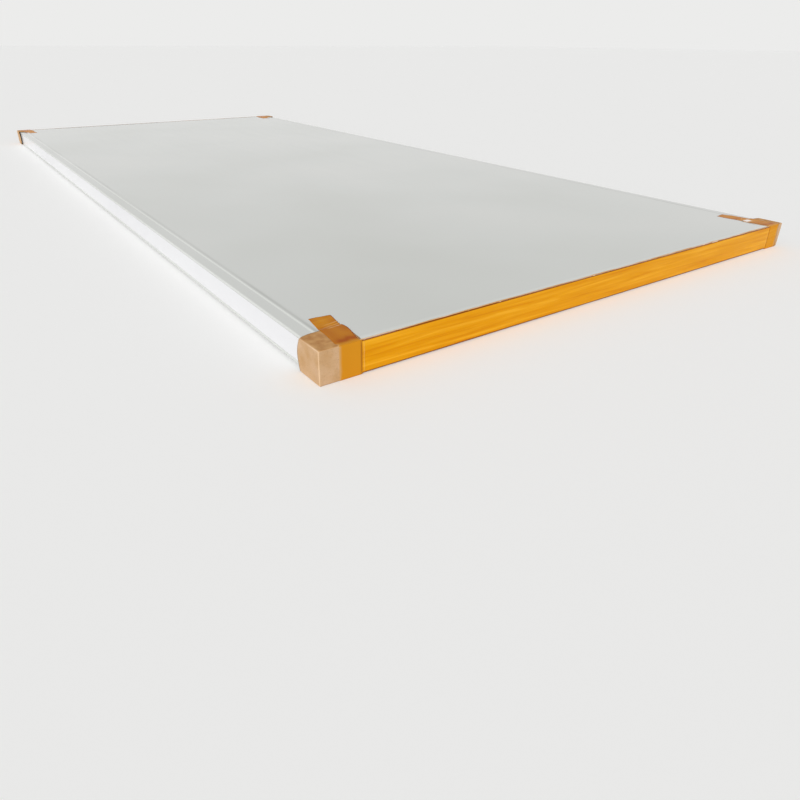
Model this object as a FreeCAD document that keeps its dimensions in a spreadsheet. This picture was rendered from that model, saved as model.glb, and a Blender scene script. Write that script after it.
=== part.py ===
import FreeCAD, Part
import os
import Sketcher

# Insulated sandwich wall panel with mineral wool core, lying flat and packed for the site.
# Two prepainted steel face sheets are bonded to the wool.  Their long edges are pressed down
# into a joint strip and folded over a steel channel.  The ends are cut open and closed with
# adhesive tape, and every corner has a folded kraft board cap held by a strip of the same tape.
# Millimetres.  X runs across the panel, Y along it and Z up.  The origin is on the ground
# below the panel's centre.

doc = FreeCAD.newDocument("InsulatedSandwichPanel")

# ---------------------------------------------------------------- driving sizes
SIZES = {
    # the panel
    "panel_length": 2660,
    "panel_width": 1180,
    "panel_depth": 50,
    "face_gauge": 0.5,
    "joint_width": 20,
    "joint_drop": 1.5,
    "ramp_run": 2.5,
    "bend_radius": 1.5,
    "lip_depth": 5,
    # the channel inside each long edge
    "channel_gauge": 0.8,
    "channel_flange": 18,
    "channel_radius": 1.6,
    "edge_clearance": 0.05,
    # the adhesive tape
    "tape_gauge": 0.2,
    "end_tape_lap": 5,
    "strip_width": 35,
    "strip_hold": 43,
    "strip_long_hold": 59,
    "strip_slope": 4,
    "strip_margin": 1,
    # the kraft corner caps
    "board_gauge": 1,
    "cap_side_leg": 50,
    "cap_long_leg": 65,
    "cap_short_leg": 50,
    "cap_splay": 7,
    "cap_standoff": 5,
    "cap_bow": 10,
    "fold_radius": 1.2,
}

sheet = doc.addObject("Spreadsheet::Sheet", "Size")
for row, (alias, number) in enumerate(SIZES.items(), start=1):
    sheet.set(f"A{row}", alias)
    sheet.set(f"B{row}", str(number))
    sheet.setAlias(f"B{row}", alias)
doc.recompute()

# Heights that several pieces share, written as expressions on the sheet.
REST = "(Size.board_gauge + 2 * Size.tape_gauge)"
MIDDLE = f"({REST} + Size.panel_depth / 2)"
CAP_WALL = "(Size.board_gauge + Size.tape_gauge)"


# ---------------------------------------------------------------- ways of working
def value(expression):
    """The number that an expression on the sheet comes to."""
    return float(sheet.evalExpression(expression))


def new_body(label):
    body = doc.addObject("PartDesign::Body", label)
    body.Label = label
    return body


def new_sketch(body, role, name):
    """A sketch on one of the body's own origin planes."""
    plane = next(item for item in body.Origin.OriginFeatures if item.Role == role)
    sketch = body.newObject("Sketcher::SketchObject", name)
    sketch.AttachmentSupport = (plane, [""])
    sketch.MapMode = "FlatFace"
    return sketch


def pin(sketch, kind, axis, geometry, end, expression):
    """Hold one end of a line at a distance from the sketch's origin, or on its axis."""
    if expression == "0":
        sketch.addConstraint(Sketcher.Constraint("PointOnObject", geometry, end, axis))
        return
    number = value(expression)
    index = sketch.addConstraint(Sketcher.Constraint(kind, -1, 1, geometry, end, number))
    sketch.setExpression(f"Constraints[{index}]", expression)


def outline(sketch, corners):
    """A closed outline through corners given as expressions: across, up and perhaps a radius.

    A corner with a radius joins an upright line and a level one by an arc tangent to both.
    """
    spots = [FreeCAD.Vector(value(corner[0]), value(corner[1]), 0) for corner in corners]
    arrivals = []
    departures = []
    for index, corner in enumerate(corners):
        spot = spots[index]
        radius = value(corner[2]) if len(corner) == 3 else 0
        arrivals.append(spot + (spots[index - 1] - spot).normalize() * radius)
        departures.append(spot + (spots[(index + 1) % len(spots)] - spot).normalize() * radius)
    for departure, arrival in zip(departures, arrivals[1:] + arrivals[:1]):
        sketch.addGeometry(Part.LineSegment(departure, arrival))
    for index, corner in enumerate(corners):
        previous = (index - 1) % len(corners)
        across, up = corner[:2]
        if len(corner) == 2:
            sketch.addConstraint(Sketcher.Constraint("Coincident", previous, 2, index, 1))
            pin(sketch, "DistanceX", -2, index, 1, across)
            pin(sketch, "DistanceY", -1, index, 1, up)
            continue
        arrival, departure, spot = arrivals[index], departures[index], spots[index]
        centre = arrival + departure - spot
        crown = centre + (spot - centre).normalize() * value(corner[2])
        bend = sketch.addGeometry(Part.Arc(arrival, crown, departure))
        first, second = (1, 2) if sketch.getPoint(bend, 1).isEqual(arrival, 1e-6) else (2, 1)
        sketch.addConstraint(Sketcher.Constraint("Tangent", previous, 2, bend, first))
        sketch.addConstraint(Sketcher.Constraint("Tangent", bend, second, index, 1))
        number = sketch.addConstraint(Sketcher.Constraint("Radius", bend, value(corner[2])))
        sketch.setExpression(f"Constraints[{number}]", corner[2])
        if across == corners[index - 1][0]:
            pin(sketch, "DistanceX", -2, previous, 2, across)
            pin(sketch, "DistanceY", -1, index, 1, up)
        else:
            pin(sketch, "DistanceY", -1, previous, 2, up)
            pin(sketch, "DistanceX", -2, index, 1, across)


def pad(body, sketch, name, length, reverse=False):
    feature = body.newObject("PartDesign::Pad", name)
    feature.Profile = sketch
    feature.Reversed = reverse
    feature.setExpression("Length", length)
    doc.recompute()
    return feature


def place(body, turn_axis, across, along, up):
    """Turn the body half round about an axis, if one is given, and set where its origin lies."""
    angle = 180 if turn_axis else 0
    axis = FreeCAD.Vector(*(turn_axis or (0, 0, 1)))
    body.Placement = FreeCAD.Placement(FreeCAD.Vector(), FreeCAD.Rotation(axis, angle))
    for letter, expression in zip("xyz", (across, along, up)):
        body.setExpression(f"Placement.Base.{letter}", expression)


HALF_TURN_X = (1, 0, 0)
HALF_TURN_Y = (0, 1, 0)
HALF_TURN_Z = (0, 0, 1)


# ---------------------------------------------------------------- face sheets
def face_sheet(label):
    """A roll-formed face: flat field, ramp down to the joint strip, and a lip folded down."""
    width = "Size.panel_width"
    gauge = "Size.face_gauge"
    strip = "Size.joint_width"
    ramp = "(Size.joint_width + Size.ramp_run)"
    low = "Size.lip_depth"
    high = "(Size.lip_depth + Size.joint_drop)"
    bend = "Size.bend_radius"
    inner_bend = f"({bend} - {gauge})"
    body = new_body(label)
    sketch = new_sketch(body, "XZ_Plane", f"{label}_profile")
    outline(sketch, [
        ("0", "0"),
        ("0", low, bend),
        (strip, low),
        (ramp, high),
        (f"{width} - {ramp}", high),
        (f"{width} - {strip}", low),
        (width, low, bend),
        (width, "0"),
        (f"{width} - {gauge}", "0"),
        (f"{width} - {gauge}", f"{low} - {gauge}", inner_bend),
        (f"{width} - {strip}", f"{low} - {gauge}"),
        (f"{width} - {ramp}", f"{high} - {gauge}"),
        (ramp, f"{high} - {gauge}"),
        (strip, f"{low} - {gauge}"),
        (gauge, f"{low} - {gauge}", inner_bend),
        (gauge, "0"),
    ])
    pad(body, sketch, f"{label}_formed", "Size.panel_length", reverse=True)
    return body


LIP_FOOT = "(Size.panel_depth / 2 - Size.joint_drop - Size.lip_depth)"

top_face = face_sheet("top_facing_sheet")
place(top_face, None, "-Size.panel_width / 2", "-Size.panel_length / 2", f"{MIDDLE} + {LIP_FOOT}")

bottom_face = face_sheet("bottom_facing_sheet")
place(bottom_face, HALF_TURN_Y, "Size.panel_width / 2", "-Size.panel_length / 2",
      f"{MIDDLE} - {LIP_FOOT}")


# ---------------------------------------------------------------- folded C profiles
def c_outline(sketch, web, flange, gauge, outer_bend, *inner_bend):
    """A C open to the right, with its outer lower corner at the sketch's origin.

    The inner corners are sharp if no radius is given for them.
    """
    outline(sketch, [
        ("0", "0", outer_bend),
        (flange, "0"),
        (flange, gauge),
        (gauge, gauge, *inner_bend),
        (gauge, f"{web} - {gauge}", *inner_bend),
        (flange, f"{web} - {gauge}"),
        (flange, web),
        ("0", web, outer_bend),
    ])


# Each long edge is stiffened by a channel that lies inside the folded face sheets.  Its web is
# the plain white wall seen between the two lips.
CHANNEL_WEB = "(Size.panel_depth - 2 * Size.joint_drop - 2 * Size.face_gauge)"


def edge_channel(label):
    body = new_body(label)
    sketch = new_sketch(body, "XZ_Plane", f"{label}_profile")
    c_outline(sketch, CHANNEL_WEB, "Size.channel_flange", "Size.channel_gauge",
              "Size.channel_radius", "Size.channel_radius - Size.channel_gauge")
    pad(body, sketch, f"{label}_formed", "Size.panel_length", reverse=True)
    return body


left_channel = edge_channel("edge_channel_left")
place(left_channel, None,
      "-Size.panel_width / 2 + Size.face_gauge",
      "-Size.panel_length / 2",
      f"{MIDDLE} - {CHANNEL_WEB} / 2")

right_channel = edge_channel("edge_channel_right")
place(right_channel, HALF_TURN_Z,
      "Size.panel_width / 2 - Size.face_gauge",
      "Size.panel_length / 2",
      f"{MIDDLE} - {CHANNEL_WEB} / 2")


# ---------------------------------------------------------------- mineral wool core
# The wool fills the space between the face sheets, and its long edges are rebated so that they
# slide in between the channels' flanges, with corners eased to clear the channels' bends.
core = new_body("insulation_core")
CORE_EDGE = "(Size.face_gauge + Size.channel_gauge + Size.edge_clearance)"
CORE_WIDTH = f"(Size.panel_width - 2 * {CORE_EDGE})"
CORE_DEPTH = "(Size.panel_depth - 2 * Size.face_gauge)"
SHOULDER = f"(Size.joint_width + Size.ramp_run - {CORE_EDGE})"
REBATE = "(Size.joint_drop + Size.channel_gauge + Size.edge_clearance)"
CORE_EASE = "Size.channel_radius"
core_sketch = new_sketch(core, "XZ_Plane", "insulation_core_profile")
outline(core_sketch, [
    ("0", REBATE, CORE_EASE),
    (SHOULDER, REBATE),
    (SHOULDER, "0"),
    (f"{CORE_WIDTH} - {SHOULDER}", "0"),
    (f"{CORE_WIDTH} - {SHOULDER}", REBATE),
    (CORE_WIDTH, REBATE, CORE_EASE),
    (CORE_WIDTH, f"{CORE_DEPTH} - {REBATE}", CORE_EASE),
    (f"{CORE_WIDTH} - {SHOULDER}", f"{CORE_DEPTH} - {REBATE}"),
    (f"{CORE_WIDTH} - {SHOULDER}", CORE_DEPTH),
    (SHOULDER, CORE_DEPTH),
    (SHOULDER, f"{CORE_DEPTH} - {REBATE}"),
    ("0", f"{CORE_DEPTH} - {REBATE}", CORE_EASE),
])
pad(core, core_sketch, "insulation_core_slab", "Size.panel_length", reverse=True)
place(core, None, f"-{CORE_WIDTH} / 2", "-Size.panel_length / 2", f"{MIDDLE} - {CORE_DEPTH} / 2")


# ---------------------------------------------------------------- tape over the cut ends
def end_tape(label):
    """A wide tape along one cut end, turned over a few millimetres on to both faces."""
    body = new_body(label)
    sketch = new_sketch(body, "YZ_Plane", f"{label}_profile")
    c_outline(sketch, "(Size.panel_depth + 2 * Size.tape_gauge)",
              "(Size.end_tape_lap + Size.tape_gauge)", "Size.tape_gauge", "Size.tape_gauge")
    pad(body, sketch, f"{label}_run", "Size.panel_width - 2 * (Size.joint_width + Size.ramp_run)")
    return body


END_TAPE_START = "(Size.panel_width / 2 - Size.joint_width - Size.ramp_run)"

near_tape = end_tape("end_tape_near")
place(near_tape, None,
      f"-{END_TAPE_START}",
      "-Size.panel_length / 2 - Size.tape_gauge",
      f"{REST} - Size.tape_gauge")

far_tape = end_tape("end_tape_far")
place(far_tape, HALF_TURN_Z,
      END_TAPE_START,
      "Size.panel_length / 2 + Size.tape_gauge",
      f"{REST} - Size.tape_gauge")


# ---------------------------------------------------------------- corner caps
CAP_DEPTH = f"(Size.panel_depth + 2 * {CAP_WALL})"


def round_folds(body, name):
    """Round a cap's folds: its upright corner, and its cheeks into the end and side flaps."""
    depth = value(CAP_DEPTH)
    base = body.Tip
    folds = []
    for number, edge in enumerate(base.Shape.Edges, start=1):
        middle = edge.CenterOfMass
        across = abs(middle.x) < 1e-4
        along = abs(middle.y) < 1e-4
        level = abs(middle.z) < 1e-4 or abs(middle.z - depth) < 1e-4
        if across + along + level == 2:
            folds.append(f"Edge{number}")
    feature = body.newObject("PartDesign::Fillet", name)
    feature.Base = (base, folds)
    feature.setExpression("Radius", "Size.fold_radius")
    doc.recompute()


def corner_cap(label, end_leg):
    """A kraft board blank folded round a corner: an end flap, a side flap and two cheeks.

    The cheeks lie on the two faces with a slanting back edge, and the side flap's free edge is
    cut to a bow.  The side flap isn't stuck down and stands off the panel's long edge.  The
    origin is the cap's outer lower corner.
    """
    board = "Size.board_gauge"
    back = f"(Size.cap_side_leg + {CAP_WALL})"
    inner_end = f"({end_leg} + {board})"
    body = new_body(label)

    plan = new_sketch(body, "XY_Plane", f"{label}_plan")
    outline(plan, [
        ("0", "0"),
        (inner_end, "0"),
        (inner_end, f"{back} + Size.cap_splay"),
        ("0", back),
    ])
    pad(body, plan, f"{label}_block", CAP_DEPTH)

    room = new_sketch(body, "XY_Plane", f"{label}_room")
    room.setExpression("AttachmentOffset.Base.z", board)
    outline(room, [
        (board, board),
        (f"{inner_end} + {board}", board),
        (f"{inner_end} + {board}", f"{back} + Size.cap_splay + {board}"),
        (board, f"{back} + Size.cap_splay + {board}"),
    ])
    hollow = body.newObject("PartDesign::Pocket", f"{label}_hollow")
    hollow.Profile = room
    hollow.Reversed = True
    hollow.setExpression("Length", f"{CAP_DEPTH} - 2 * {board}")
    doc.recompute()

    round_folds(body, f"{label}_folds")

    bow = new_sketch(body, "YZ_Plane", f"{label}_bow")
    foot = "Size.fold_radius"
    head = f"{CAP_DEPTH} - Size.fold_radius"
    low = FreeCAD.Vector(value(back), value(foot), 0)
    high = FreeCAD.Vector(value(back), value(head), 0)
    crown = FreeCAD.Vector(value(f"{back} + Size.cap_bow"), value(f"{CAP_DEPTH} / 2"), 0)
    bow.addGeometry(Part.Arc(low, crown, high))
    bow.addGeometry(Part.LineSegment(high, low))
    bow.addConstraint(Sketcher.Constraint("Coincident", 0, 2, 1, 1))
    bow.addConstraint(Sketcher.Constraint("Coincident", 1, 2, 0, 1))
    for end, height in ((1, head), (2, foot)):
        pin(bow, "DistanceX", -2, 1, end, back)
        pin(bow, "DistanceY", -1, 1, end, height)
    chord = f"({CAP_DEPTH} - 2 * Size.fold_radius)"
    radius = f"({chord}^2 / 4 + Size.cap_bow^2) / (2 * Size.cap_bow)"
    index = bow.addConstraint(Sketcher.Constraint("Radius", 0, value(radius)))
    bow.setExpression(f"Constraints[{index}]", radius)
    pad(body, bow, f"{label}_side_flap", board)
    return body


CORNERS = {
    # name: half turn, side of the panel across, side along, up or down, end leg, strip's hold
    "near_left": (None, "-", "-", "-", "Size.cap_long_leg", "Size.strip_hold"),
    "near_right": (HALF_TURN_Y, "", "-", "+", "Size.cap_short_leg", "Size.strip_long_hold"),
    "far_left": (HALF_TURN_X, "-", "", "+", "Size.cap_short_leg", "Size.strip_long_hold"),
    "far_right": (HALF_TURN_Z, "", "", "-", "Size.cap_long_leg", "Size.strip_hold"),
}

caps = {}
for corner, (turn, across, along, up, end_leg, hold) in CORNERS.items():
    cap = corner_cap(f"corner_cap_{corner}", end_leg)
    place(cap, turn,
          f"{across}(Size.panel_width / 2 + Size.cap_standoff + Size.board_gauge)",
          f"{along}(Size.panel_length / 2 + {CAP_WALL})",
          f"{MIDDLE} {up} {CAP_DEPTH} / 2")
    caps[corner] = cap


# ---------------------------------------------------------------- strips of tape on the caps
STRIP_WEB = f"({CAP_DEPTH} + 2 * Size.tape_gauge)"


def cap_tape(label, hold):
    """A strip that runs over a cap from one face to the other and sticks to both faces.

    Beyond the cap's cheek it slopes down to the face sheet.  The origin is its outer lower
    corner.
    """
    gauge = "Size.tape_gauge"
    edge = f"(Size.cap_side_leg + Size.cap_splay + Size.strip_margin + {CAP_WALL} + {gauge})"
    landed = f"({edge} + Size.strip_slope)"
    end = f"({landed} + {hold})"
    outer_bend = f"(Size.fold_radius + {gauge})"
    body = new_body(label)
    sketch = new_sketch(body, "YZ_Plane", f"{label}_profile")
    outline(sketch, [
        ("0", "0", outer_bend),
        (edge, "0"),
        (landed, CAP_WALL),
        (end, CAP_WALL),
        (end, f"{CAP_WALL} + {gauge}"),
        (landed, f"{CAP_WALL} + {gauge}"),
        (edge, gauge),
        (gauge, gauge, "Size.fold_radius"),
        (gauge, f"{STRIP_WEB} - {gauge}", "Size.fold_radius"),
        (edge, f"{STRIP_WEB} - {gauge}"),
        (landed, f"{STRIP_WEB} - {CAP_WALL} - {gauge}"),
        (end, f"{STRIP_WEB} - {CAP_WALL} - {gauge}"),
        (end, f"{STRIP_WEB} - {CAP_WALL}"),
        (landed, f"{STRIP_WEB} - {CAP_WALL}"),
        (edge, STRIP_WEB),
        ("0", STRIP_WEB, outer_bend),
    ])
    pad(body, sketch, f"{label}_run", "Size.strip_width")
    return body


strips = {}
for corner, (turn, across, along, up, end_leg, hold) in CORNERS.items():
    strip = cap_tape(f"cap_tape_{corner}", hold)
    place(strip, turn,
          f"{across}(Size.panel_width / 2 + Size.cap_standoff - {end_leg} + Size.strip_width)",
          f"{along}(Size.panel_length / 2 + {CAP_WALL} + Size.tape_gauge)",
          f"{MIDDLE} {up} {STRIP_WEB} / 2")
    strips[corner] = strip


# ---------------------------------------------------------------- check and write
doc.recompute()
bodies = [item for item in doc.Objects if item.TypeId == "PartDesign::Body"]
for item in doc.Objects:
    if "Invalid" in item.State or "Error" in item.State:
        raise RuntimeError(f"{item.Label} did not build: {item.State}")
for body in bodies:
    if body.Shape.isNull() or not body.Shape.isValid():
        raise RuntimeError(f"{body.Label} has no valid solid")

os.makedirs("parts", exist_ok=True)
for body in bodies:
    body.Shape.exportStep(f"parts/{body.Label}.step")
    box = body.Shape.BoundBox
    print(f"{body.Label:24s} solids {len(body.Shape.Solids)}  volume {body.Shape.Volume:12.1f}"
          f"  x {box.XMin:8.1f} {box.XMax:8.1f}  y {box.YMin:8.1f} {box.YMax:8.1f}"
          f"  z {box.ZMin:6.2f} {box.ZMax:6.2f}")
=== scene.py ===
import math

import bmesh
import bpy
import numpy as np
from mathutils import Matrix, Vector


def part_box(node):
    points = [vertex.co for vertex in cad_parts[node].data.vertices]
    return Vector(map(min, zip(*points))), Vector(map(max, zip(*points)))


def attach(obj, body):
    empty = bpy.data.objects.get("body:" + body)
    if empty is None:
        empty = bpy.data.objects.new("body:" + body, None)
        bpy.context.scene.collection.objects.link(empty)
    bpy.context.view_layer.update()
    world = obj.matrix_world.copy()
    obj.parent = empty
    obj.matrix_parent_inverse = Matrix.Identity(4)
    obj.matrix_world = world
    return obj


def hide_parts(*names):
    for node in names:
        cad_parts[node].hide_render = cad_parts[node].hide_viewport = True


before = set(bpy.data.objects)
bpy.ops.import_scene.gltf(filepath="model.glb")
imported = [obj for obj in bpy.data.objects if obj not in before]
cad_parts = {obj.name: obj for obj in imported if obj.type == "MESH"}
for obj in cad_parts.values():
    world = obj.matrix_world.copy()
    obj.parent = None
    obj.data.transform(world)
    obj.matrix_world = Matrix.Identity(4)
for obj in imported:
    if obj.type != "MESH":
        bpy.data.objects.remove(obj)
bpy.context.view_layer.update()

# ------------------------------------------------------------------ facing sheets
# The two faces are one roll-formed sheet of prepainted steel each, 0.5 mm thick.  Along both
# long edges the sheet is pressed down a little into a joint strip and folded over the edge
# channel with a short lip.  The sheets are glued to the wool, so they lie almost flat.

sheet_low, sheet_high = (np.array(corner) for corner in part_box("top_facing_sheet"))
panel_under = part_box("bottom_facing_sheet")[0][2]
panel_top = sheet_high[2]
middle = (panel_top + panel_under) / 2
half_width = sheet_high[0]
half_length = sheet_high[1]

# Sizes are in metres, here and below.  RAMP_GAP and ROLL_ZONE only space the profile's points.
SHEET_GAUGE = 0.0005
JOINT_WIDTH = 0.020
JOINT_DROP = 0.0015
RAMP_LEAD = 0.0002
RAMP_RUN = 0.0025
RAMP_GAP = 0.0004
BEND_RADIUS = 0.0015
LIP_DEPTH = sheet_high[2] - sheet_low[2] - JOINT_DROP
LIP_TUCK = 0.0002
FIELD_WAVE = 0.00022
EDGE_ROLL = 0.00025
ROLL_WIDTH = 0.012
ROLL_ZONE = 0.016
# The painted dark reflection beside the ramp: its place, its width and its fade from the near
# end.
DARK_BAND_PLACE = 0.0035
DARK_BAND_WIDTH = 0.0032
DARK_BAND_FADE = 0.3


def lattice_noise(across, along, cell_across, cell_along, seed):
    """Random heights from -1 to 1 on a lattice, blended between its knots by a smooth step.

    The cells are in metres.
    """
    knots = np.random.default_rng(seed).uniform(-1, 1, (256, 256))
    column, row = np.broadcast_arrays(across / cell_across, along / cell_along)
    left, below = np.floor(column).astype(int), np.floor(row).astype(int)
    right_share, top_share = column - left, row - below
    right_share = right_share * right_share * (3 - 2 * right_share)
    top_share = top_share * top_share * (3 - 2 * top_share)

    def knot(step_right, step_up):
        return knots[(left + step_right) % 256, (below + step_up) % 256]

    lower = knot(0, 0) * (1 - right_share) + knot(1, 0) * right_share
    upper = knot(0, 1) * (1 - right_share) + knot(1, 1) * right_share
    return lower * (1 - top_share) + upper * top_share


def smooth_step(value, start, end):
    """0 before start, 1 after end, and 3t^2 - 2t^3 between them."""
    share = np.clip((value - start) / (end - start), 0, 1)
    return share * share * (3 - 2 * share)


def grid_quads(rows, columns):
    """The quads of a grid of points, each as four point numbers."""
    index = np.arange(rows * columns).reshape(rows, columns)
    quads = np.stack([index[:-1, :-1], index[1:, :-1], index[1:, 1:], index[:-1, 1:]], axis=-1)
    return quads.reshape(-1, 4)


def mesh_object(name, points, quads, attributes):
    """A smooth object at the origin, with an array of numbers kept for its points."""
    mesh = bpy.data.meshes.new(name)
    mesh.from_pydata(points.tolist(), [], quads.tolist())
    for label, numbers in attributes.items():
        layer = mesh.attributes.new(label, "FLOAT", "POINT")
        layer.data.foreach_set("value", numbers.ravel().astype("f"))
    mesh.shade_smooth()
    piece = bpy.data.objects.new(name, mesh)
    bpy.context.scene.collection.objects.link(piece)
    return piece


def grid_object(name, points, turned=False, attributes=None):
    """A quad surface through a grid of points, rows by columns, with numbers kept per point.

    The face normal is the row direction crossed with the column direction, or its opposite if
    the surface is turned.
    """
    rows, columns = points.shape[:2]
    quads = grid_quads(rows, columns)
    if turned:
        quads = quads[:, ::-1]
    kept = {label: np.broadcast_to(numbers, (rows, columns))
            for label, numbers in (attributes or {}).items()}
    return mesh_object(name, points.reshape(-1, 3), quads, kept)


def give_wall(piece, gauge):
    """Thicken a surface by a wall behind it, so that the surface stays the outer skin."""
    wall = piece.modifiers.new("wall", "SOLIDIFY")
    wall.thickness = gauge
    wall.offset = -1
    wall.use_even_offset = True


def facing_sheet(name, up):
    """The sheet's outer skin: a profile across the panel carried along its length.

    Half the profile, from the middle outwards, is a flat field, a shallow roll up before a
    ramp down of one smooth step, the joint strip, a quarter bend and the lip.  The other half
    is the same, mirrored.  The field has a slow wave of a fifth of a millimetre, most of it
    below the flat level.  A painted dark reflection is kept per point: a bell curve beside
    the ramp, strongest at the near end.
    """
    joint_level = panel_top - JOINT_DROP - middle
    ramp_start = half_width - JOINT_WIDTH - RAMP_RUN
    field = np.linspace(0, ramp_start - ROLL_ZONE, 22)
    roll = np.linspace(ramp_start - ROLL_ZONE, ramp_start - RAMP_GAP, 12)[1:]
    ramp = np.linspace(ramp_start, ramp_start + RAMP_RUN, 9)
    strip = np.linspace(ramp_start + RAMP_RUN + 2 * RAMP_GAP, half_width - BEND_RADIUS, 10)
    flat = np.concatenate([field, roll, ramp, strip])
    drop = smooth_step(flat, ramp_start - RAMP_LEAD, ramp_start + RAMP_RUN)
    rise = smooth_step(flat, ramp_start - ROLL_WIDTH, ramp_start) * (1 - drop)
    level = joint_level + JOINT_DROP * (1 - drop) + EDGE_ROLL * rise
    angle = np.linspace(0, np.pi / 2, 9)[1:]
    bend_out = half_width - BEND_RADIUS + BEND_RADIUS * np.sin(angle)
    bend_up = joint_level - BEND_RADIUS + BEND_RADIUS * np.cos(angle)
    lip_up = np.linspace(joint_level - BEND_RADIUS, joint_level - LIP_DEPTH, 6)[1:]
    lip_out = half_width - LIP_TUCK * np.linspace(0.2, 1, 5)
    half_out = np.concatenate([flat, bend_out, lip_out])
    half_up = np.concatenate([level, bend_up, lip_up])
    out = np.concatenate([-half_out[:0:-1], half_out])
    height = np.concatenate([half_up[:0:-1], half_up])
    along = np.linspace(-half_length, half_length, 176)
    out, along = np.meshgrid(out, along)
    inner = ramp_start - np.abs(out)
    wave = (lattice_noise(out, along, 0.17, 0.31, seed=11)
            + 0.5 * lattice_noise(out, along, 0.09, 0.12, seed=12))
    height = height + FIELD_WAVE * smooth_step(inner, 0.004, 0.12) * (wave - 0.9) / 2
    points = np.stack([out, along, middle + up * height], axis=-1)
    # Painted dark reflection: a grey band beside the ramp, fading away from the near end.
    fade = (0.3 + 0.7 * np.exp(-(along + half_length) / DARK_BAND_FADE)
            + 0.25 * lattice_noise(out, along, 9.0, 0.12, seed=13))
    painted_dark_band = np.exp(-((inner - DARK_BAND_PLACE) / DARK_BAND_WIDTH) ** 2) * np.clip(fade, 0, 1)
    return grid_object(name, points, turned=up > 0, attributes={"painted_dark_band": painted_dark_band})


def linear(colour):
    """The linear values, with an alpha of 1, of an sRGB colour written as a hex string."""
    parts = [int(colour[place:place + 2], 16) / 255 for place in (0, 2, 4)]
    return (*(part / 12.92 if part <= 0.04045 else ((part + 0.055) / 1.055) ** 2.4
              for part in parts), 1)


def add_node(tree, kind, inputs=None, stops=(), **settings):
    """Add one node with its settings, and set or link its inputs.

    The stops of a colour ramp are pairs of a position and a hex colour.
    """
    made = tree.nodes.new(f"ShaderNode{kind}")
    for label, setting in settings.items():
        setattr(made, label, setting)
    for label, given in (inputs or {}).items():
        if isinstance(given, bpy.types.NodeSocket):
            tree.links.new(given, made.inputs[label])
        else:
            made.inputs[label].default_value = given
    for _ in stops[2:]:
        made.color_ramp.elements.new(0.5)
    for number, (position, colour) in enumerate(stops):
        made.color_ramp.elements[number].position = position
        made.color_ramp.elements[number].color = linear(colour)
    return made


def new_finish(name):
    """An empty material, its node tree, and its Principled shader joined to the output."""
    finish = bpy.data.materials.new(name)
    finish.use_nodes = True
    tree = finish.node_tree
    return finish, tree, tree.nodes["Principled BSDF"]


def coil_coating(name, pale, mean, dull):
    """Polyester paint, roll-coated on the steel coil and baked: smooth with a soft gloss.

    Clouds of shade half a metre wide, faint wipe marks of 70 by 600 mm that dull the gloss
    along the rolling direction, a painted dark reflection in grey beside the ramp, and orange
    peel, drawn at 12 mm so that it still shows.
    """
    finish, tree, shader = new_finish(name)
    place = add_node(tree, "TexCoord").outputs["Object"]
    cloud = add_node(tree, "TexNoise", {"Vector": place, "Scale": 2.1, "Detail": 2.0,
                                        "Roughness": 0.45})
    shade = add_node(tree, "ValToRGB", {"Fac": cloud.outputs["Fac"]},
                     stops=[(0.3, dull), (0.5, mean), (0.72, pale)])
    drawn = add_node(tree, "Mapping", {"Vector": place, "Scale": (14.0, 1.6, 14.0)})
    wipe = add_node(tree, "TexNoise", {"Vector": drawn.outputs["Vector"], "Scale": 1.0,
                                       "Detail": 2.0})
    gloss = add_node(tree, "MapRange", {"Value": wipe.outputs["Fac"], "From Min": 0.3,
                                        "From Max": 0.75, "To Min": 0.11, "To Max": 0.17})
    # Painted dark reflection: the band beside the ramp is mixed to grey.
    dark_band_input = add_node(tree, "Attribute", attribute_name="painted_dark_band")
    with_dark_band = add_node(tree, "Mix", {"Factor": dark_band_input.outputs["Fac"], "A": shade.outputs["Color"],
                                    "B": linear("ABADA8")}, data_type="RGBA")
    peel = add_node(tree, "TexNoise", {"Vector": place, "Scale": 1 / 0.012, "Detail": 2.0})
    relief = add_node(tree, "Bump", {"Height": peel.outputs["Fac"], "Strength": 0.04,
                                     "Distance": 0.0005})
    tree.links.new(with_dark_band.outputs["Result"], shader.inputs["Base Color"])
    tree.links.new(gloss.outputs["Result"], shader.inputs["Roughness"])
    tree.links.new(relief.outputs["Normal"], shader.inputs["Normal"])
    shader.inputs["IOR"].default_value = 1.5
    return finish


face_paint = coil_coating("prepainted_steel_face", "D4D5D1", "CFD1CD", "CACCC7")

for face, up in (("top", 1), ("bottom", -1)):
    skin = facing_sheet(f"{face}_sheet_skin", up)
    skin.data.materials.append(face_paint)
    give_wall(skin, SHEET_GAUGE)
    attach(skin, "root")
    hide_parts(f"{face}_facing_sheet")

# ------------------------------------------------------------------ edge channels
# A white steel channel stiffens each long edge inside the folded sheets.  Its web is the plain
# wall between the two lips.  Its paint is a whiter shade of the sheets' paint, partly its own
# white and partly painted light: the long side, which faces the lamp, is painted lighter.

# Painted light: this whiter shade partly stands for the lamp's light on the long side.
channel_paint_painted_lighter = coil_coating("prepainted_steel_channel", "E4E4E6", "E0E0E2", "DCDCDF")
for side in ("left", "right"):
    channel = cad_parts[f"edge_channel_{side}"]
    channel.data.materials.clear()
    channel.data.materials.append(channel_paint_painted_lighter)

# ------------------------------------------------------------------ mineral wool core
# A slab of pressed rock wool, glued between the faces and hidden by the sheets, the channels
# and the tapes.  It is matt, ochre and fibrous.


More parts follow.
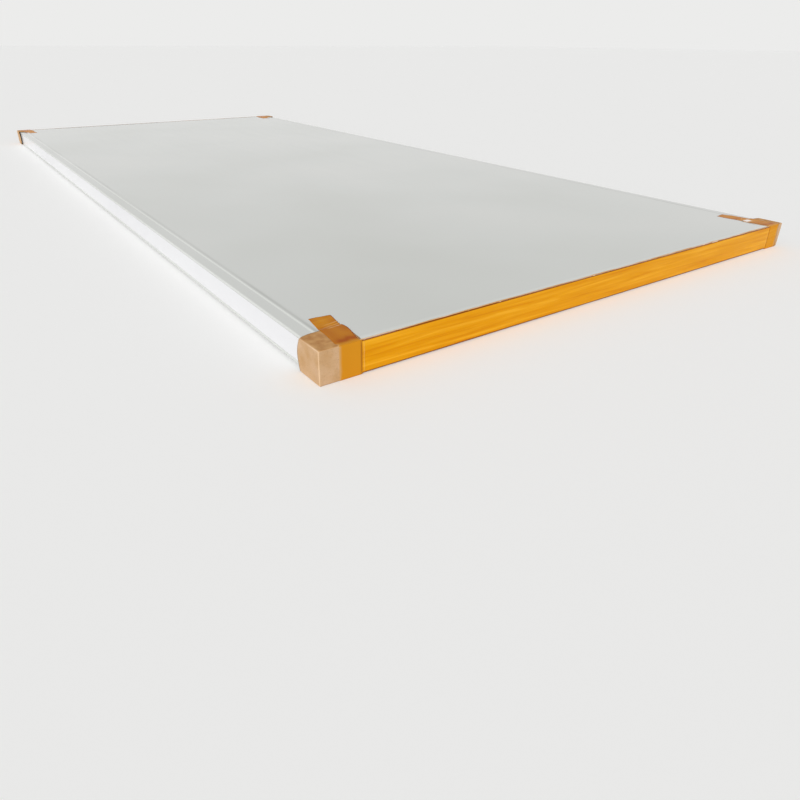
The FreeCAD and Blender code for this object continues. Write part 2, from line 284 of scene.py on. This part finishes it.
def rock_wool():
    """Fibres pressed flat: layers about 2 mm thick of ochre and brown, fully matt."""
    finish, tree, shader = new_finish("rock_wool")
    place = add_node(tree, "TexCoord").outputs["Object"]
    layered = add_node(tree, "Mapping", {"Vector": place, "Scale": (90.0, 90.0, 420.0)})
    fibre = add_node(tree, "TexNoise", {"Vector": layered.outputs["Vector"], "Scale": 1.0,
                                        "Detail": 5.0})
    streaked = add_node(tree, "ValToRGB", {"Fac": fibre.outputs["Fac"]},
                        stops=[(0.3, "7D6B40"), (0.7, "B8A46C")])
    relief = add_node(tree, "Bump", {"Height": fibre.outputs["Fac"], "Strength": 0.5,
                                     "Distance": 0.001})
    tree.links.new(streaked.outputs["Color"], shader.inputs["Base Color"])
    tree.links.new(relief.outputs["Normal"], shader.inputs["Normal"])
    shader.inputs["Roughness"].default_value = 0.95
    return finish


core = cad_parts["insulation_core"]
core.data.materials.clear()
core.data.materials.append(rock_wool())

# ------------------------------------------------------------------ corner caps
# Each corner wears a cap folded from one piece of kraft board, and a strip of tape holds it:
# an end flap, a side flap whose free edge is cut to a bow, and two cheeks on the faces.  The
# folds are pale, partly rubbed and partly a painted highlight, and the cheeks are painted
# darker as painted shade.

BOARD = 0.001
FOLD_RADIUS = 0.0016
SIDE_LEG = 0.0512
SIDE_BOW = 0.0105
BOW_PLACE = 0.47
BOW_SPAN = 0.56
CHEEK_RISE = 0.0075
CHEEK_RISE_REACH = 0.009
CHEEK_SPLAY = 0.0025
CHEEK_FLARE = 0.0055
CHEEK_DENT = 0.0003
SIDE_DENT = 0.0006
END_DENT = 0.0002
# How far the pale folds reach: rubbed board, and a painted highlight.
UPRIGHT_PALE_REACH = 0.0011
SIDE_PALE_REACH = 0.0012
SAME_PLACE = 1e-6
CORNER_SIGNS = {
    "near_left": (-1, -1),
    "near_right": (1, -1),
    "far_left": (-1, 1),
    "far_right": (1, 1),
}
# How far each cap's upright fold is pulled in at its foot.
SLACK = {"near_left": 0.0003, "near_right": 0.003, "far_left": 0.0012, "far_right": 0.002}


def edge_dense(length, count):
    """Places from 0 to length, close together over the first fold radius."""
    return np.concatenate([np.linspace(0, FOLD_RADIUS, 6),
                           np.linspace(FOLD_RADIUS, length, count)[1:]])


def wall_dense(height, count):
    """Places from 0 to height, close together over a fold radius at both ends."""
    foot = np.linspace(0, FOLD_RADIUS, 6)
    body = np.linspace(FOLD_RADIUS, height - FOLD_RADIUS, count)[1:-1]
    return np.concatenate([foot, body, height - foot[::-1]])


def round_box(points, height):
    """Round the box's edges: each point is pulled to one radius from its nearest inner point."""
    inner = points.copy()
    inner[..., :2] = np.maximum(inner[..., :2], FOLD_RADIUS)
    inner[..., 2] = np.clip(inner[..., 2], FOLD_RADIUS, height - FOLD_RADIUS)
    away = points - inner
    return inner + FOLD_RADIUS * away / np.linalg.norm(away, axis=-1, keepdims=True)


def cap_flaps(end_leg, height, slack, seed):
    """The cap's four flaps as grids in a corner frame: x along the end, y along the side.

    Cheeks: their back edge rises as 1 - exp(-x / 9 mm), and their inner edge flares with y.
    Side flap: its free edge is a parabola over the height.  All four are rounded together and
    dented inwards by soft noise.  Slack pulls the upright fold in, most at its foot.
    """
    to_end, to_side = edge_dense(end_leg, 24), edge_dense(SIDE_LEG, 24)
    up = wall_dense(height, 16)
    sides = {
        "end": (to_end[:, None], 0.0, up[None, :]),
        "side": (0.0, to_side[:, None], up[None, :]),
        "foot": (to_end[:, None], to_side[None, :], 0.0),
        "head": (to_end[:, None], to_side[None, :], height),
    }
    flaps = {}
    for kind, side in sides.items():
        points = np.stack(np.broadcast_arrays(*side), axis=-1)
        x, y, z = points[..., 0], points[..., 1], points[..., 2]
        shaped = round_box(points, height)
        beyond_x, beyond_y = x > FOLD_RADIUS, y > FOLD_RADIUS
        off_folds = smooth_step(np.minimum(z, height - z), 0.0005, 0.012)
        if kind in ("foot", "head"):
            back = CHEEK_RISE * (1 - np.exp(-x / CHEEK_RISE_REACH))
            shaped[..., 1] += np.where(beyond_y, back * (y / SIDE_LEG) ** 2, 0)
            flare = CHEEK_SPLAY * smooth_step(y, 0.001, 0.008) + CHEEK_FLARE * y / SIDE_LEG
            shaped[..., 0] += np.where(beyond_x, flare * (x / end_leg) ** 2, 0)
            inside = smooth_step(np.minimum(x, y), 0.001, 0.012)
            dent = inside * CHEEK_DENT * (1 + lattice_noise(x + 0.3, y, 0.015, 0.019, seed))
            shaped[..., 2] += dent if kind == "foot" else -dent
        if kind == "side":
            bow = SIDE_BOW * (1 - ((z - BOW_PLACE * height) / (BOW_SPAN * height)) ** 2)
            shaped[..., 1] += np.where(beyond_y, bow * (y / SIDE_LEG) ** 2, 0)
            inside = smooth_step(y, 0.001, 0.02) * off_folds
            shaped[..., 0] += inside * SIDE_DENT * (
                1 + lattice_noise(y, z, 0.022, 0.018, seed + 1))
        if kind == "end":
            inside = smooth_step(x, 0.001, 0.02) * off_folds
            shaped[..., 1] += inside * END_DENT * (
                1 + lattice_noise(x, z, 0.02, 0.016, seed + 2))
        round_out = np.exp(-(x + y) / 0.006) * smooth_step(x + y, -0.001, 0.004)
        lean = (1 - shaped[..., 2] / height) ** 1.5 * np.exp(-(x / 0.02) ** 2)
        shaped[..., 0] += slack * (0.5 * round_out + lean)
        shaped[..., 1] += slack * 0.5 * round_out
        flaps[kind] = shaped
    return flaps


def fold_wear_and_highlight(points, height):
    """1 on the upright fold and on the front of the side folds, gone about 2 mm off them."""
    x, y, z = points[..., 0], points[..., 1], points[..., 2]
    level = np.minimum(np.abs(z), np.abs(height - z))
    # The folds are pale: rubbed board, and a painted highlight.
    upright = np.exp(-(x ** 2 + y ** 2) / UPRIGHT_PALE_REACH ** 2)
    side_fold = np.exp(-(x ** 2 + level ** 2) / SIDE_PALE_REACH ** 2)
    side_fold = side_fold * (1 - 0.8 * smooth_step(y, 0.012, 0.05))
    chipped = 0.75 + 0.25 * lattice_noise(y + z, x, 0.006, 0.5, seed=91)
    return np.maximum(upright, side_fold) * chipped


def corner_cap(corner, seed):
    """One board cap: the four flaps are joined along their folds and given the board's gauge.

    Kept per point: the paleness of the folds, partly rubbed and partly a painted highlight, and
    cheek, which is 1 on the two cheeks and 0 elsewhere.
    """
    sign_across, sign_along = CORNER_SIGNS[corner]
    low, high = (np.array(end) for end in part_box(f"corner_cap_{corner}"))
    height = high[2] - low[2]
    flaps = cap_flaps(high[0] - low[0], height, SLACK[corner], seed)
    outer = np.array([low[0] if sign_across < 0 else high[0],
                      low[1] if sign_along < 0 else high[1], low[2]])
    toward = np.array([-sign_across, -sign_along, 1])
    mirrored = sign_across * sign_along < 0
    places, faces, fold_paleness, cheek, count = [], [], [], [], 0
    for kind, points in flaps.items():
        rows, columns = points.shape[:2]
        quads = grid_quads(rows, columns) + count
        faces.append(quads[:, ::-1] if (kind in ("side", "foot")) != mirrored else quads)
        places.append((outer + toward * points).reshape(-1, 3))
        fold_paleness.append(fold_wear_and_highlight(points, height).ravel())
        cheek.append(np.full(rows * columns, float(kind in ("foot", "head"))))
        count += rows * columns
    piece = mesh_object(f"board_cap_{corner}", np.concatenate(places), np.concatenate(faces),
                        {"fold_wear_and_highlight": np.concatenate(fold_paleness), "cheek": np.concatenate(cheek)})
    shell = bmesh.new()
    shell.from_mesh(piece.data)
    bmesh.ops.remove_doubles(shell, verts=shell.verts, dist=SAME_PLACE)
    shell.to_mesh(piece.data)
    shell.free()
    give_wall(piece, BOARD)
    return piece


def kraft_board():
    """Unbleached kraft board: brown fibres pressed to a matt sheet, clouded, flecked and limp.

    Clouds are about 30 mm wide, blotches 11 mm, and the flecks are bundles of fibre 1.6 mm
    long.  Folds are paler, partly rubbed fibre and partly a painted highlight.  The cheeks are
    painted darker in blotches as painted shade.
    """
    finish, tree, shader = new_finish("kraft_board")
    place = add_node(tree, "TexCoord").outputs["Object"]
    cloud = add_node(tree, "TexNoise", {"Vector": place, "Scale": 32.0, "Detail": 3.0})
    body = add_node(tree, "ValToRGB", {"Fac": cloud.outputs["Fac"]},
                    stops=[(0.32, "BE9566"), (0.5, "C6A178"), (0.68, "CEAA86")])
    fleck = add_node(tree, "TexNoise", {"Vector": place, "Scale": 620.0, "Detail": 2.0})
    speckle = add_node(tree, "MapRange", {"Value": fleck.outputs["Fac"], "From Min": 0.55,
                                          "From Max": 0.75, "To Min": 0.0, "To Max": 0.35})
    flecked = add_node(tree, "Mix", {"Factor": speckle.outputs["Result"],
                                     "A": body.outputs["Color"],
                                     "B": linear("8E6238")}, data_type="RGBA")
    blotch = add_node(tree, "TexNoise", {"Vector": place, "Scale": 90.0, "Detail": 4.0})
    # Painted shade: the cheeks, which lie on the faces, take a darker brown in blotches.
    cheek_shade = add_node(tree, "ValToRGB", {"Fac": blotch.outputs["Fac"]},
                       stops=[(0.35, "B07C48"), (0.65, "C99A62")])
    cheek = add_node(tree, "Attribute", attribute_name="cheek")
    darkened = add_node(tree, "Mix", {"Factor": cheek.outputs["Fac"],
                                      "A": flecked.outputs["Result"],
                                      "B": cheek_shade.outputs["Color"]}, data_type="RGBA")
    # The folds are mixed pale: rubbed fibre, and a painted highlight.
    fold_paleness = add_node(tree, "Attribute", attribute_name="fold_wear_and_highlight")
    with_pale_folds = add_node(tree, "Mix", {"Factor": fold_paleness.outputs["Fac"],
                                  "A": darkened.outputs["Result"],
                                  "B": linear("F2D6B4")}, data_type="RGBA")
    limp = add_node(tree, "Bump", {"Height": blotch.outputs["Fac"], "Strength": 0.3,
                                   "Distance": 0.0008})
    grain = add_node(tree, "Bump", {"Height": fleck.outputs["Fac"], "Strength": 0.25,
                                    "Distance": 0.0004, "Normal": limp.outputs["Normal"]})
    tree.links.new(with_pale_folds.outputs["Result"], shader.inputs["Base Color"])
    tree.links.new(grain.outputs["Normal"], shader.inputs["Normal"])
    shader.inputs["Roughness"].default_value = 0.85
    return finish


board_finish = kraft_board()
for number, corner in enumerate(CORNER_SIGNS):
    cap = corner_cap(corner, 40 + 7 * number)
    cap.data.materials.append(board_finish)
    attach(cap, "root")
    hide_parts(f"corner_cap_{corner}")

# ------------------------------------------------------------------ end tapes
# Wide amber packing tape runs along each cut end from cap to cap, over the caps' end flaps.
# It is turned over a few millimetres on to both faces, and is drawn tight into long wrinkles.

FILM = 0.00006
FILM_LIFT = 0.00008
FILM_CLEAR = 0.0002
LAP = 0.0045
LAP_RADIUS = 0.0009
LAP_WANDER = 0.25
LAP_RAGGED = 0.1
TENT = 0.0045
UNDER_STRIP = 0.001
CUT_SHORT = 0.0135
TORN_END = 0.003
BEFORE_FLAP = 0.002
BEYOND_FLAP = 0.009
LOOSE_FIT = 0.00045
LONG_WRINKLE = 0.00024
FINE_WRINKLE = 0.00011
CUSHION = 0.00018
PLEAT_PLACE = 0.0055
PLEAT_WIDTH = 0.0008
PLEAT_RISE = 0.0003
CREASE_PLACE = 0.0012
CREASE_WIDTH = 0.0007
GLINT_PLACE = 0.0008
BAND_EDGE = 0.0016


def end_tape(end, along_sign):
    """The film's outer skin: a path round the end's section, carried across the panel.

    The path is the upper lap, an arc, the upright band, an arc and the lower lap.  Both laps
    have an uneven edge.  Over a cap the film stands out by the board's gauge, reached by a
    smooth step from the flap's edge, with a raised pleat beside it.  On the bare end it has
    long flat wrinkles, noise stretched about fifteen times along the tape.  Kept per point: a
    darker, redder mix in the arcs and along the band's edges, for the double film and as
    painted shade in the fold, and as a painted shadow in the crease beside a flap; over_board
    on the caps; a pale mix in the pleats, partly for the film standing off and partly as a
    painted highlight; and painted highlights as small glints along the upper arc and on the
    laps.
    """
    cap_left, cap_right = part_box(f"corner_cap_{end}_left"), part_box(f"corner_cap_{end}_right")
    left_edge, right_edge = cap_left[1][0], cap_right[0][0]
    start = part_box(f"cap_tape_{end}_left")[0][0] + UNDER_STRIP
    stop = cap_right[1][0] - CUT_SHORT
    across = np.concatenate([
        np.linspace(start, left_edge - BEFORE_FLAP, 16)[:-1],
        np.linspace(left_edge - BEFORE_FLAP, left_edge + BEYOND_FLAP, 20)[:-1],
        np.linspace(left_edge + BEYOND_FLAP, right_edge - BEYOND_FLAP, 420)[:-1],
        np.linspace(right_edge - BEYOND_FLAP, right_edge + BEFORE_FLAP, 20)[:-1],
        np.linspace(right_edge + BEFORE_FLAP, stop, 16),
    ])[:, None]
    half = (panel_top - panel_under) / 2
    turn = np.linspace(0, np.pi / 2, 7)[1:-1]
    free = np.linspace(1, 0, 6)
    band = np.linspace(half - LAP_RADIUS, -half + LAP_RADIUS, 48)
    arc_in, arc_up = LAP_RADIUS * (1 - np.sin(turn)), LAP_RADIUS * (1 - np.cos(turn))
    on_lap = np.concatenate([free, 0 * turn, 0 * band, 0 * turn, free[::-1]])
    inward = np.concatenate([LAP_RADIUS + 0 * free, arc_in, 0 * band, arc_in[::-1],
                             LAP_RADIUS + 0 * free])
    upward = np.concatenate([half + 0 * free, half - arc_up, band, -half + arc_up[::-1],
                             -half + 0 * free])
    face = np.sign(upward)
    lap = LAP * (1 + LAP_WANDER * lattice_noise(across, face, 0.045, 0.3, seed=21)
                 + LAP_RAGGED * lattice_noise(across, face, 0.011, 0.3, seed=22))
    inward = inward + on_lap * (lap - LAP_RADIUS)
    ragged = TORN_END * lattice_noise(upward, along_sign, 0.011, 1.0, seed=25)
    x = across + ragged * smooth_step(across, stop - 0.02, stop)

    over_cap = np.maximum(1 - smooth_step(across, left_edge, left_edge + TENT),
                          smooth_step(across, right_edge - TENT, right_edge))
    beside = np.minimum(np.abs(across - left_edge - PLEAT_PLACE),
                        np.abs(across - right_edge + PLEAT_PLACE))
    off_edge = half - np.abs(upward)
    on_band = smooth_step(off_edge, 0.0, 0.005)
    pleat = np.exp(-(beside / PLEAT_WIDTH) ** 2) * on_band
    bare = (1 - over_cap) * on_band
    wrinkle = LONG_WRINKLE * lattice_noise(x, upward + 0.03 * x, 0.11, 0.0075, seed=31)
    wrinkle = wrinkle + FINE_WRINKLE * lattice_noise(x, upward - 0.02 * x, 0.05, 0.0035, seed=32)
    cushion = CUSHION * lattice_noise(x, upward, 0.05, 0.03, seed=33)
    outward = (FILM_LIFT + over_cap * BOARD + bare * (LOOSE_FIT + wrinkle + cushion)
               + PLEAT_RISE * pleat * (1 - over_cap))
    outward = np.minimum(outward, FILM_LIFT + BOARD)
    lap_lift = (FILM_LIFT + over_cap * (BOARD + FILM_CLEAR)) * (1 - on_band)
    height = face * (np.abs(upward) + lap_lift)
    y = along_sign * (half_length + FILM_CLEAR + outward - inward)
    points = np.stack([x, y, middle + height], axis=-1)

    # Painted shadow: a dark line in the crease beside each flap's edge.
    crease = np.minimum(np.abs(across - left_edge - CREASE_PLACE),
                        np.abs(across - right_edge + CREASE_PLACE))
    crease = np.exp(-(crease / CREASE_WIDTH) ** 2) * on_band
    # Painted highlights: small glints along the upper arc.
    glint_spots = smooth_step(lattice_noise(across, 7.0, 0.016, 1.0, seed=27), 0.74, 0.82)
    glint = (glint_spots * smooth_step(inward, 0.0, 0.0003)
             * np.exp(-((inward - GLINT_PLACE) / GLINT_PLACE) ** 2) * (upward > 0))
    # Darker and redder in the arcs and at the band's edges: the double film, and painted shade
    # in the fold.
    turned_in = smooth_step(inward, 0.0, 0.3 * LAP_RADIUS)
    band_edge = 1 - smooth_step(off_edge, LAP_RADIUS, LAP_RADIUS + BAND_EDGE)
    # Painted highlight: the laps are mixed pale.
    flat_lap = smooth_step(inward, LAP_RADIUS, LAP_RADIUS + 0.0006)
    lap_highlight = flat_lap * (0.6 + 0.2 * lattice_noise(across, face, 0.02, 0.3, seed=28))
    edge = np.maximum(turned_in, band_edge) * (1 - 0.7 * flat_lap) * (1 - 0.85 * over_cap)
    # The pleats are pale, partly for the film standing off and partly as a painted highlight.
    open_pleat = pleat * (0.3 + 0.15 * lattice_noise(upward, across, 0.009, 1.0, seed=26))
    return grid_object(f"amber_tape_{end}_end", points, turned=along_sign < 0, attributes={
        "deep_and_painted_shade": np.maximum(edge, 0.8 * crease),
        "over_board": over_cap,
        "air_and_painted_highlight": np.maximum(open_pleat, np.maximum(glint, lap_highlight)),
    })


def amber_film(name, lapped_and_shaded_colour, gloss):
    """Brown packing tape: clear polypropylene film on amber adhesive, stretched and glossy.

    Streaks of 200 by 7 mm are adhesive drawn thin and thick.  Board behind the film mutes it,
    a lap makes it darker and red, and so do painted shade and painted shadow where the tape
    folds and lies on the faces.  It is pale where the film stands off, partly for that and
    partly as a painted highlight, and kraft shows through it where its edge has soaked in.
    """
    finish, tree, shader = new_finish(name)
    place = add_node(tree, "TexCoord").outputs["Object"]
    drawn = add_node(tree, "Mapping", {"Vector": place, "Rotation": (0.0, -0.012, 0.0),
                                       "Scale": (5.0, 30.0, 150.0)})
    streak = add_node(tree, "TexNoise", {"Vector": drawn.outputs["Vector"], "Scale": 1.0,
                                         "Detail": 4.0, "Roughness": 0.62, "Distortion": 0.5})
    amber = add_node(tree, "ValToRGB", {"Fac": streak.outputs["Fac"]}, stops=[
        (0.32, "D38500"), (0.44, "DC9404"), (0.54, "E19B0E"), (0.66, "EBA922")])
    board = add_node(tree, "Attribute", attribute_name="over_board")
    muted = add_node(tree, "Mix", {"Factor": board.outputs["Fac"], "A": amber.outputs["Color"],
                                   "B": linear("D08C20")}, data_type="RGBA")
    # Darker, redder mix: a lap's double film, and painted shade and painted shadow.
    deep_and_painted_shade = add_node(tree, "Attribute", attribute_name="deep_and_painted_shade")
    lapped_and_shaded = add_node(tree, "Mix", {"Factor": deep_and_painted_shade.outputs["Fac"],
                                    "A": muted.outputs["Result"],
                                    "B": linear(lapped_and_shaded_colour)}, data_type="RGBA")
    # Pale mix: film standing off, and painted highlights and glints.
    air_and_painted_highlight = add_node(tree, "Attribute", attribute_name="air_and_painted_highlight")
    highlight_ramp = add_node(tree, "ValToRGB", {"Fac": air_and_painted_highlight.outputs["Fac"]},
                    stops=[(0.5, "EDBE78"), (0.95, "FFF8F4")])
    aired_and_highlighted = add_node(tree, "Mix", {"Factor": air_and_painted_highlight.outputs["Fac"], "A": lapped_and_shaded.outputs["Result"],
                                   "B": highlight_ramp.outputs["Color"]}, data_type="RGBA")
    kraft = add_node(tree, "Attribute", attribute_name="kraft")
    faded = add_node(tree, "Mix", {"Factor": kraft.outputs["Fac"],
                                   "A": aired_and_highlighted.outputs["Result"],
                                   "B": linear("C6A06E")}, data_type="RGBA")
    relief = add_node(tree, "Bump", {"Height": streak.outputs["Fac"], "Strength": 0.25,
                                     "Distance": 0.0008})
    tree.links.new(faded.outputs["Result"], shader.inputs["Base Color"])
    tree.links.new(relief.outputs["Normal"], shader.inputs["Normal"])
    shader.inputs["Roughness"].default_value = 0.25
    shader.inputs["IOR"].default_value = 1.49
    shader.inputs["Specular IOR Level"].default_value = gloss
    return finish


film_finish = amber_film("amber_packing_film", "803A06", 0.08)
for end, along_sign in (("near", -1), ("far", 1)):
    tape = end_tape(end, along_sign)
    tape.data.materials.append(film_finish)
    give_wall(tape, FILM)
    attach(tape, "root")
    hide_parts(f"end_tape_{end}")

# ------------------------------------------------------------------ cap tapes
# A short strip of the same tape is stuck over each cap, from one face round the end to the
# other.  It wrinkles where it steps down from the board to the steel.

SKIN_INSET = 0.00002
CHEEK_DEPTH = SIDE_LEG + 0.008
CHEEK_LEAN = 0.0045
SHEET_LEAN = 0.007
STRIP_FLARE = 0.004
STRIP_WAVE = 0.0004
END_SLANT = 0.0042
END_RAGGED = 0.0007
CREASES = (-0.006, 0.001, 0.008)
CREASE_SPREAD = 0.001
CREASE_SLANT = 0.14
CREASE_RISE = 0.0011
PUCKER = 0.00012
SOAKED = 0.0042
STAND_OFF_PLACE = 0.007
STAND_OFF_SPREAD = 0.0075
# How far the board mutes each strip's film, and how strong a painted highlight it has where it
# stands off.
MUTED = {"near_left": 1.0, "near_right": 0.35, "far_left": 0.8, "far_right": 0.7}
STAND_OFF_HIGHLIGHT = {"near_left": 0.0, "near_right": 1.2, "far_left": 0.5, "far_right": 0.2}


def cap_tape(corner, seed):
    """The strip's outer skin: a path from face to face, carried across the strip's width.

    From its end on the face the path steps up to the cheek by a smooth step, turns down over
    the fold by an arc, runs down the end and back the same way underneath.  The strip leans
    towards the panel's middle on the faces, and has three slanted bell-shaped creases where
    it steps down.  Kept per point: a darker, redder mix on the faces as painted shade, in
    patches, and as a painted shadow along the inner edge; over_board on the cap; a pale mix as
    a painted highlight in the creases and where the strip stands off the cheek's back; and
    kraft along the strip's outer edge on the end, where it has soaked into the board.
    """
    sign_across, sign_along = CORNER_SIGNS[corner]
    low, high = (np.array(end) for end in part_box(f"cap_tape_{corner}"))
    cap_low, cap_high = (np.array(end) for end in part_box(f"corner_cap_{corner}"))
    half = (high[2] - low[2]) / 2 - SKIN_INSET
    reach, width = high[1] - low[1], high[0] - low[0]
    outer = cap_high[0] if sign_across > 0 else -cap_low[0]
    first = outer - (high[0] if sign_across > 0 else -low[0])
    end_face = abs(low[1] if sign_along < 0 else high[1]) - SKIN_INSET
    radius = FOLD_RADIUS + FILM_CLEAR
    turn = np.linspace(0, np.pi / 2, 8)[1:-1]
    run, band = np.linspace(reach, radius, 64), np.linspace(half - radius, -half + radius, 26)
    arc_in, arc_up = radius * (1 - np.sin(turn)), radius * (1 - np.cos(turn))
    inward = np.concatenate([run, arc_in, 0 * band, arc_in[::-1], run[::-1]])[:, None]
    upward = np.concatenate([half + 0 * run, half - arc_up, band, -half + arc_up[::-1],
                             -half + 0 * run])[:, None]
    share = np.linspace(0, 1, 34)

    lean = (CHEEK_LEAN * smooth_step(inward, 0.004, 0.05)
            + SHEET_LEAN * smooth_step(inward, 0.05, 0.11))
    flare = (STRIP_FLARE * smooth_step(inward, 0.002, 0.045)
             * (1 - smooth_step(inward, 0.05, 0.07)))
    edge_wave = STRIP_WAVE * lattice_noise(inward, share * 3, 0.013, 1.0, seed + 4)
    x = first + width * share + lean + flare * (share - 0.2) + edge_wave

    step = smooth_step(inward, CHEEK_DEPTH + 0.0005, CHEEK_DEPTH + 0.006)
    past = inward - CHEEK_DEPTH - 0.002
    on_face = smooth_step(inward, radius, 0.01)
    tented = smooth_step(share, 0.25, 0.5) * (
        0.8 + 0.3 * lattice_noise(inward, x, 0.004, 0.006, seed))
    # The creases also take a painted highlight in the pale mix.
    ridges = [np.exp(-((past - place - CREASE_SLANT * (x - first)) / CREASE_SPREAD) ** 2)
              for place in CREASES]
    fold = on_face * np.clip(sum(ridges), 0, 1) * np.clip(tented, 0, 1)
    drop = (half + middle - panel_top - 0.0001) * step
    pucker = PUCKER * step * (1 + lattice_noise(inward, x, 0.02, 0.006, seed + 1))
    lift = np.minimum(CREASE_RISE * fold, drop * 0.8) + pucker
    z = np.sign(upward) * (np.abs(upward) - drop + lift)

    ragged = END_RAGGED * lattice_noise(x, 2.0, 0.005, 1.0, seed + 2)
    slant = END_SLANT * share ** 1.6
    tail = smooth_step(inward, reach - 0.03, reach)
    y = sign_along * (end_face - inward + (slant + ragged) * tail)
    points = np.stack(np.broadcast_arrays(sign_across * (outer - x), y, middle + z), axis=-1)

    on_end = 1 - on_face
    patch = 0.5 + 0.5 * lattice_noise(inward, x, 0.016, 0.014, seed + 3)
    dark_place = 0.013 + 0.004 * lattice_noise(x, 3.0, 0.008, 1.0, seed + 5)
    dark = np.exp(-((inward - dark_place) / 0.007) ** 2) * smooth_step(share, 0.0, 0.3)
    # Painted shadow along the strip's inner edge, where it leaves the cheek.
    inner_edge_shadow = 1.2 * on_face * smooth_step(share, 0.94, 1.0)
    soaked = SOAKED * (1 + 0.5 * lattice_noise(upward, 1.0, 0.012, 1.0, seed + 6))
    # Painted highlight where the strip stands off the cheek's back.
    stand_off_highlight = (STAND_OFF_HIGHLIGHT[corner] * np.exp(-((past + STAND_OFF_PLACE) / STAND_OFF_SPREAD) ** 2)
                 * smooth_step(share, 0.35, 0.6))
    mirrored = sign_across * sign_along < 0
    # The darker mix on the faces is painted shade.
    return grid_object(f"amber_strip_{corner}", points, turned=mirrored, attributes={
        "deep_and_painted_shade": np.maximum(on_face * (0.3 + 0.25 * patch + 0.4 * dark)
                           + 0.12 * on_end * patch, inner_edge_shadow),
        "over_board": MUTED[corner] * (1 - step),
        "air_and_painted_highlight": np.clip(0.75 * fold + stand_off_highlight, 0, 0.95),
        "kraft": 0.8 * ((1 - smooth_step(width * share, 0.0, soaked)) * on_end),
    })


strip_finish = amber_film("amber_packing_film_strip", "9E3F00", 0.03)
for number, corner in enumerate(CORNER_SIGNS):
    strip = cap_tape(corner, 60 + 5 * number)
    strip.data.materials.append(strip_finish)
    give_wall(strip, FILM)
    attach(strip, "root")
    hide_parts(f"cap_tape_{corner}")

# ------------------------------------------------------------------ studio
# A plain pale floor of matt paint, which takes a soft shadow and mirrors next to nothing, a
# pale even surround, and one broad soft key lamp, so far off on the left and the front that
# its light falls evenly.

FLOOR_HALF = 40.0
LAMP_SPREAD = math.radians(20)
LIGHT_HEADING = (0.66, 0.55, -0.52)

floor = grid_object("studio_floor", np.array([
    [[-FLOOR_HALF, -FLOOR_HALF, 0], [-FLOOR_HALF, FLOOR_HALF, 0]],
    [[FLOOR_HALF, -FLOOR_HALF, 0], [FLOOR_HALF, FLOOR_HALF, 0]]], dtype=float))
floor_finish, _, floor_shader = new_finish("floor_paint")
floor_shader.inputs["Base Color"].default_value = linear("FAFAF9")
floor_shader.inputs["Roughness"].default_value = 0.9
floor.data.materials.append(floor_finish)

# The flat sheets would mirror the lamp as one white patch, so glossy rays don't see it.
lamp = bpy.data.lights.new("key_lamp", "SUN")
lamp.angle = LAMP_SPREAD
lamp.energy = 2.44
stand = bpy.data.objects.new("key_lamp", lamp)
stand.visible_glossy = False
stand.rotation_euler = Vector(LIGHT_HEADING).to_track_quat("-Z", "Y").to_euler()
bpy.context.scene.collection.objects.link(stand)

# The surround is pale to the camera and in reflections, and lights the object less brightly.
world = bpy.data.worlds.new("studio_air")
world.use_nodes = True
bpy.context.scene.world = world
sky = world.node_tree
sky.nodes.clear()
ray = add_node(sky, "LightPath")
seen = add_node(sky, "Math", {0: ray.outputs["Is Camera Ray"],
                              1: ray.outputs["Is Glossy Ray"]}, operation="MAXIMUM")
shown = add_node(sky, "Math", {0: seen.outputs["Value"],
                               1: ray.outputs["Is Transmission Ray"]}, operation="MAXIMUM")
ambient = add_node(sky, "Background", {"Color": linear("FFFFFF"), "Strength": 0.45})
surround = add_node(sky, "Background", {"Color": linear("ECECEB"), "Strength": 1.0})
either = add_node(sky, "MixShader", {0: shown.outputs["Value"], 1: ambient.outputs["Background"],
                                     2: surround.outputs["Background"]})
add_node(sky, "OutputWorld", {"Surface": either.outputs["Shader"]})

# ------------------------------------------------------------------ camera
# It stands off the near left corner, and looks down along the panel.  Its place is measured
# from the top of that corner's cap.

HEADING = math.radians(34.98)
PITCH = math.radians(25.26)
ROLL = math.radians(0.43)
STAND_OFF = Vector((-0.3587, -0.6688, 0.3657))
SENSOR_WIDTH = 36.0
FOCAL_SHARE = 0.809

lens = bpy.data.cameras.new("camera")
lens.sensor_width = SENSOR_WIDTH
lens.lens = FOCAL_SHARE * SENSOR_WIDTH
lens.shift_x = 0.016
lens.shift_y = -0.0682
camera = bpy.data.objects.new("camera", lens)
cap_low, cap_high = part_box("corner_cap_near_left")
camera.matrix_world = (
    Matrix.Translation(Vector((cap_low[0], cap_low[1], cap_high[2])) + STAND_OFF)
    @ Matrix.Rotation(-HEADING, 4, "Z")
    @ Matrix.Rotation(math.pi / 2 - PITCH, 4, "X")
    @ Matrix.Rotation(ROLL, 4, "Z"))
bpy.context.scene.collection.objects.link(camera)
bpy.context.scene.camera = camera
bpy.context.scene.view_settings.view_transform = "Standard"
